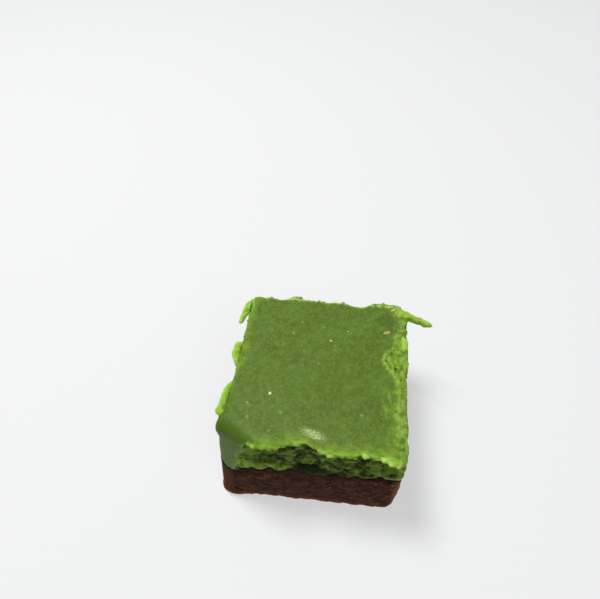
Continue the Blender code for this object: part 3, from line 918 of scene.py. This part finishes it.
def flecks(name, places, skin_tree, chance, shapes, material):
    """Flecks lying half sunk in the poured top."""
    parts = []
    for x, y, size in places:
        place = skin_tree.ray_cast(Vector((x * MM, y * MM, TOP + 10 * MM)), DOWN)[0]
        place = place + DOWN * size * MM * FLECK_SINK
        parts.append(placed(chance.choice(shapes), place, -DOWN, size * MM, FLECK_FORM, chance, LAID_TURN))
    piece = new_piece(name, *joined(parts))
    piece.data.materials.append(material)
    return piece


# Materials

# The dots' cells, in sizes of a dot, and where a dot begins and is full, in shares of a cell
DOT_SPACE = 2.4
DOT_EDGE = (0.3, 0.14)


def plug(node, **inputs):
    """Sets a node's inputs by name or number, each to a value or a node's output."""
    for name, value in inputs.items():
        socket = node.inputs[int(name[1:])] if name[0] == "_" else node.inputs[name.replace("_", " ")]
        if isinstance(value, bpy.types.NodeSocket):
            node.id_data.links.new(value, socket)
        else:
            socket.default_value = value
    return node


def add(tree, kind, settings=None, **inputs):
    """Adds a node with its settings and inputs."""
    node = tree.nodes.new(kind)
    for name, value in (settings or {}).items():
        setattr(node, name, value)
    return plug(node, **inputs)


def new_material(name, piece=None):
    """An empty material, what its colours go by, and its shader: they go by the place in millimetres
    and the marks that the piece's vertices keep."""
    made = bpy.data.materials.new(name)
    made.use_nodes = True
    tree = made.node_tree
    place = add(tree, "ShaderNodeTexCoord").outputs["Object"]
    place = add(tree, "ShaderNodeVectorMath", {"operation": "SCALE"}, _0=place, Scale=1.0 / MM).outputs[0]
    at = SimpleNamespace(tree=tree, place=place)
    for layer in piece.data.attributes if piece else ():
        if layer.data_type == "FLOAT":
            mark = add(tree, "ShaderNodeAttribute", {"attribute_name": layer.name})
            setattr(at, layer.name, mark.outputs["Fac"])
    return made, at, tree.nodes["Principled BSDF"]


def amount(at, *parts):
    """Parts multiplied, each a number, a node's output, or a tuple of an output, the range it is
    brought from and, where that isn't 0 to 1, the range it is brought to."""
    total = None
    for part in parts:
        if isinstance(part, tuple):
            ranges = {f"_{number}": value for number, value in enumerate(part)}
            part = add(at.tree, "ShaderNodeMapRange", **ranges).outputs[0]
        if total is not None:
            part = add(at.tree, "ShaderNodeMath", {"operation": "MULTIPLY"}, _0=total, _1=part).outputs[0]
        total = part
    return total


def coated(at, colour, *coats):
    """A colour with coats mixed over it in turn, each as the parts of its amount and then its colour.
    A colour is a hex code or a node's output."""
    for *parts, coat in coats:
        under, over = (linear(paint) if isinstance(paint, str) else paint for paint in (colour, coat))
        inputs = {"_0": amount(at, *parts), "_6": under, "_7": over}
        colour = add(at.tree, "ShaderNodeMix", {"data_type": "RGBA"}, **inputs).outputs[2]
    return colour


def clouds(at, size, detail=3.0, turn=0.0):
    """Soft noise from 0 to 1. Its blots are about that size in millimetres, or have these lengths along
    axes turned about the vertical."""
    place, scale = at.place, 1.0
    if isinstance(size, tuple):
        inputs = {"_0": place, "Rotation": (0.0, 0.0, turn), "Scale": size}
        place = add(at.tree, "ShaderNodeMapping", {"vector_type": "TEXTURE"}, **inputs).outputs[0]
    else:
        scale = 1.0 / size
    inputs = {"Vector": place, "Scale": scale, "Detail": detail, "Roughness": 0.6}
    return add(at.tree, "ShaderNodeTexNoise", **inputs).outputs["Fac"]


def dots(at, size, part):
    """Small round dots of about that size in millimetres, in that part of the cells, from 0 to 1."""
    cells = add(at.tree, "ShaderNodeTexVoronoi", Vector=at.place, Scale=1.0 / (DOT_SPACE * size))
    chosen = add(at.tree, "ShaderNodeSeparateColor", _0=cells.outputs["Color"]).outputs[0]
    return amount(at, (cells.outputs["Distance"], *DOT_EDGE), (chosen, 1.0 - part, 1.0))


def poured_top(at):
    """The poured top: waxy green with paler clouds and specks, brighter where it ends and was scraped; a
    painted sheen on the cut corner's face, painted shade on its rolled edge, a painted highlight on its
    seam, and a frosted patch that is partly a painted glint.
    """
    drawn = clouds(at, (3.2, 0.5, 1.0), turn=0.8)
    streaks = clouds(at, (0.8, 2.2, 1.0), 4.0)
    return coated(
        at, "#485d1b",
        ((clouds(at, 5.0, 5.0), 0.35, 0.65), "#516821"),
        ((at.patches, 0.42, 0.66, 0.0, 0.7), "#5f7a32"),
        ((at.grain, 0.52, 0.7, 0.0, 0.5), "#678436"),
        ((drawn, 0.5, 0.75, 0.0, 0.4), "#64812c"),
        ((at.fine, 0.5, 0.3, 0.0, 0.5), "#3c5214"),
        ((at.fine, 0.5, 0.7, 0.0, 0.4), "#6a863c"),
        (dots(at, 0.24, 0.6), 0.5, "#809e50"),
        (dots(at, 0.6, 0.22), 0.75, "#80a03c"),
        (at.spot, (at.grain, 0.35, 0.65, 0.7, 0.2), "#3c5216"),
        (at.ring, at.broken, 0.5, "#76943c"),
        (at.rim, at.broken, "#789929"),
        (at.edge, at.broken, "#7ea034"),
        (at.smear, (streaks, 0.47, 0.62, 0.0, 0.75), "#7a9a32"),
        # Painted sheen on the cut corner's face, and painted shade on its rolled edge
        (at.facet, 0.6, "#5a7238"),
        (at.corner, 0.72, "#3f5c0a"),
        # Painted highlight on the seam with the torn front
        (at.seam, at.broken, "#86a44c"),
        # The frosted patch, partly a painted glint
        (at.frost, (at.fine, 0.4, 0.6, 0.15, 1.0), "#b0c288"),
    )


def cut_front_in_shade(at):
    """The crumbly face under the lip, painted darker than the other torn sides as shade: painted shade in
    its hollows and under the mint's lower edge, painted highlights on its ridges and its seam, and bright
    bits.
    """
    layered = clouds(at, (1.2, 1.2, 0.6), 2.5)
    bits = clouds(at, (1.3, 1.3, 0.6), 2.0)
    return coated(
        at, "#273412",
        ((layered, 0.39, 0.6), "#5c7328"),
        ((at.wide, 0.42, 0.62, 0.0, 0.4), "#586a20"),
        ((bits, 0.5, 0.62, 0.0, 0.6), "#88a045"),
        # Painted highlight on the seam beside the cut corner
        (at.seam, at.broken, "#8fae50"),
        # Painted shade in the pockets and hollows
        (at.pocket, 0.8, "#1c2710"),
        (at.deep, 0.3, "#1d2812"),
        # Painted highlight on the ridges
        (at.edge, 0.65, "#86a044"),
        (at.fringe, (at.patches, 0.4, 0.6, 0.1, 0.8), "#90aa44"),
        # Painted shade under the mint's lower front edge
        (at.hem, 0.85, "#1b2611"),
    )


def torn_crumb(at):
    """The torn sides and rims, with painted highlights where they stand out and painted shade in
    their hollows; the torn band, which smeared and shows pale grains; and the cut front, painted
    darker as shade.
    """
    band = coated(
        at, "#5a7a26",
        ((at.patches, 0.38, 0.6), "#829f34"),
        (dots(at, 0.3, 0.9), 0.65, "#b0ca74"),
        (at.pale, (at.wide, 0.42, 0.6, 0.0, 0.6), "#88a354"),
        # Painted shade in the band's hollows
        (at.deep, 0.7, "#36501a"),
    )
    return coated(
        at, "#5f7f24",
        ((at.patches, 0.35, 0.65), "#80a436"),
        # Painted highlight where the surface stands out
        (at.proud, "#9cbe48"),
        # Painted shade in the hollows
        (at.deep, "#33421a"),
        (at.band, band),
        # The cut front, painted darker than the other torn sides, as shade
        (at.front, cut_front_in_shade(at)),
    )


def mint_material(piece):
    """Mint fudge, boiled sugar and cream: poured smooth on top, so waxy; torn elsewhere, so grainy."""
    made, at, shader = new_material("mint_fudge_poured_and_torn", piece)
    at.fine = clouds(at, 0.34, 2.0)
    at.grain = clouds(at, 0.45)
    at.patches = clouds(at, 1.1)
    at.wide = clouds(at, 2.2)
    at.broken = amount(at, (at.patches, 0.35, 0.65, 0.2, 0.75))
    # The lip's lobes, with a painted highlight where they stand out
    lobe = coated(at, "#59801c", ((at.patches, 0.35, 0.65), "#7ca030"), (at.proud, "#8db53c"))
    finger = coated(
        at, "#6d961f",
        ((at.patches, 0.35, 0.65), "#93b93e"),
        # Painted highlight where the strips stand out
        (at.proud, 0.6, "#b2d468"),
        # Painted shade in the strips' hollows
        (at.deep, "#5c7c20"),
    )
    colour = coated(
        at, poured_top(at),
        (at.torn, torn_crumb(at)),
        # The lip's lobes, left out of its pockets as painted shade, then painted shade where the lip is
        # shady
        (at.lip, (at.pocket, 0.3, 0.9, 0.85, 0.1), lobe),
        (at.shady, (at.patches, 0.35, 0.6, 0.8, 0.3), "#3a5a12"),
        (at.strip, 0.9, finger),
        # Painted highlight on the teeth's tips and the flap
        (at.tip, "#acd25c"),
        # Painted shade in the cut front's hollow
        (at.front, at.void, (at.grain, 0.35, 0.6, 0.95, 0.5), "#16220f"),
        (at.line, (at.grain, 0.44, 0.58, 0.0, 0.8), "#b0c878"),
    )
    strength = amount(at, (at.torn, 0.0, 1.0, 0.12, 0.3))
    bump = add(at.tree, "ShaderNodeBump", Strength=strength, Distance=0.1 * MM, Height=clouds(at, 0.2))
    plug(
        shader, Base_Color=colour, Normal=bump.outputs[0], IOR=1.46, Specular_IOR_Level=0.1,
        Roughness=amount(at, (at.torn, 0.0, 1.0, 0.5, 0.68)),
        Subsurface_Weight=0.4, Subsurface_Radius=(0.6, 1.0, 0.2), Subsurface_Scale=0.4 * MM,
    )
    return made


def chocolate_material(piece):
    """Chocolate fudge: torn on its cut sides, so dull and finely grained; smoother where the tin was. It
    gets painted shade under the mint and in its hollows, painted highlights on its grains, and a base
    painted lighter, partly as light bounced from the floor.
    """
    made, at, shader = new_material("chocolate_fudge_torn", piece)
    grain = clouds(at, 0.35, 2.0)
    layered = clouds(at, (1.0, 1.0, 0.7), 2.5)
    patchy = amount(at, (clouds(at, 1.3), 0.36, 0.62, 0.2, 0.95))
    cut = coated(
        at, "#2a140c",
        ((clouds(at, 2.2, 4.0), 0.36, 0.64), "#4b2819"),
        ((layered, 0.5, 0.74, 0.0, 0.5), "#6c4830"),
        (dots(at, 0.3, 0.5), 0.5, "#7c5634"),
        (dots(at, 0.42, 0.25), 0.7, "#8a6440"),
        (at.flank, (grain, 0.35, 0.65, 0.3, 0.75), "#8e5028"),
        # Painted highlight where grains stand out
        (at.proud, 0.7, "#6a3b1e"),
        # Lighter at the base: partly painted light bounced from the floor, partly ochre specks
        (at.foot, patchy, "#7c4824"),
        # Painted shade in the hollows
        (at.deep, "#1d0c07"),
    )
    smooth = coated(at, "#452214", (clouds(at, 1.2), "#56301f"), (dots(at, 0.22, 0.25), 0.3, "#8a6350"))
    # The orange-brown edges, then painted shade under the mint
    colour = coated(at, smooth, (at.torn, cut), (at.edge, patchy, "#9c5724"), (at.eave, 0.92, "#180b07"))
    bump = add(at.tree, "ShaderNodeBump", Strength=0.1, Distance=0.1 * MM, Height=grain)
    plug(
        shader, Base_Color=colour, Normal=bump.outputs[0], IOR=1.46, Specular_IOR_Level=0.04, Roughness=0.6,
        Subsurface_Weight=0.3, Subsurface_Radius=(1.0, 0.35, 0.15), Subsurface_Scale=0.35 * MM,
    )
    return made


def fleck_material(name, light, dark):
    """Sugar and crumb that fell on the fudge while it set: matt, each fleck in its own shade."""
    made, at, shader = new_material(name)
    colour = coated(at, dark, (clouds(at, 0.4), light))
    plug(shader, Base_Color=colour, Roughness=0.7, Specular_IOR_Level=0.15)
    return made


def floor_material():
    """Opal acrylic over a lit box, so pale and matt, with shadows that stay light."""
    made, _, shader = new_material("opal_acrylic_lit_from_below")
    plug(shader, Base_Color=linear("#8e8e8e"), Roughness=0.9, Specular_IOR_Level=0.1)
    plug(shader, Emission_Color=linear("#fbfcfd"), Emission_Strength=0.55)
    return made


# Stage

CAMERA_PLACE = Vector((4.72, -61.16, 103.33)) * MM
CAMERA_AIM = Vector((-8.01, 35.56, 0.0)) * MM
CAMERA_LENS = 32.485
CAMERA_ROLL = math.radians(-1.018)
# Lamps: name, place, side in metres and power
LAMPS = (
    ("key", Vector((-0.18, 0.12, 0.56)), 0.2, 4.05),
    ("fill", Vector((0.3, -0.35, 0.5)), 0.4, 0.8),
)
SURROUND = 0.16
FLOOR_HALF = 1.5


def make_camera():
    """The photograph's view: held close, looking down on the cut front."""
    data = bpy.data.cameras.new("camera")
    data.lens = CAMERA_LENS
    data.sensor_width = 36.0
    data.sensor_fit = "HORIZONTAL"
    data.clip_start = 5 * MM
    camera = new_object("camera", data)
    aim = (CAMERA_AIM - CAMERA_PLACE).to_track_quat("-Z", "Y").to_matrix()
    turn = aim @ Matrix.Rotation(CAMERA_ROLL, 3, "Z")
    camera.matrix_world = Matrix.Translation(CAMERA_PLACE) @ turn.to_4x4()
    bpy.context.scene.camera = camera


def make_lamp(name, place, size, watts):
    """A soft square lamp that faces the fudge."""
    data = bpy.data.lights.new(name, "AREA")
    data.shape = "SQUARE"
    data.size = size
    data.energy = watts
    lamp = new_object(name, data)
    lamp.location = place
    lamp.rotation_euler = (-place).to_track_quat("-Z", "Y").to_euler()


def make_stage():
    """A pale floor, a key above and behind to the left, a weak fill in front, and a pale surround."""
    corners = np.array(((-1, -1, 0), (1, -1, 0), (1, 1, 0), (-1, 1, 0))) * FLOOR_HALF
    floor = new_piece("floor", corners, np.arange(4)[None])
    floor.data.materials.append(floor_material())
    floor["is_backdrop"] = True
    for lamp in LAMPS:
        make_lamp(*lamp)
    world = bpy.data.worlds.new("pale_surround")
    world.use_nodes = True
    plug(world.node_tree.nodes["Background"], Color=(1.0, 1.0, 1.0, 1.0), Strength=SURROUND)
    bpy.context.scene.world = world
    bpy.context.scene.view_settings.view_transform = "Standard"


def main():
    """Builds the two layers and the flecks, and the stage around them."""
    chance = random.Random(SEED)
    shapes = crumb_shapes(chance)
    mint = grown_mint(chance, shapes)
    mint.data.materials.append(mint_material(mint))
    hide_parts("mint_layer")
    chocolate = grown_chocolate(chance, shapes)
    chocolate.data.materials.append(chocolate_material(chocolate))
    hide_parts("chocolate_layer")
    tree = faces_of(mint.data).tree()
    tan = fleck_material("brown_sugar_crumb", "#cdb474", "#857442")
    pale = fleck_material("sugar_grain", "#dfe4bc", "#b9c688")
    tan_flecks = flecks("tan_flecks", TAN_FLECKS, tree, chance, shapes, tan)
    pale_flecks = flecks("pale_flecks", PALE_FLECKS, tree, chance, shapes, pale)
    slots = ((mint, "mint"), (chocolate, "chocolate"), (tan_flecks, "mint"), (pale_flecks, "mint"))
    for piece, slot in slots:
        piece.data.shade_smooth()
        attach(piece, "root")
    make_camera()
    make_stage()


main()
boxes = {"cad": cad_box, "visual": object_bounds()}
{name: [list(corner) for corner in box] for name, box in boxes.items()}
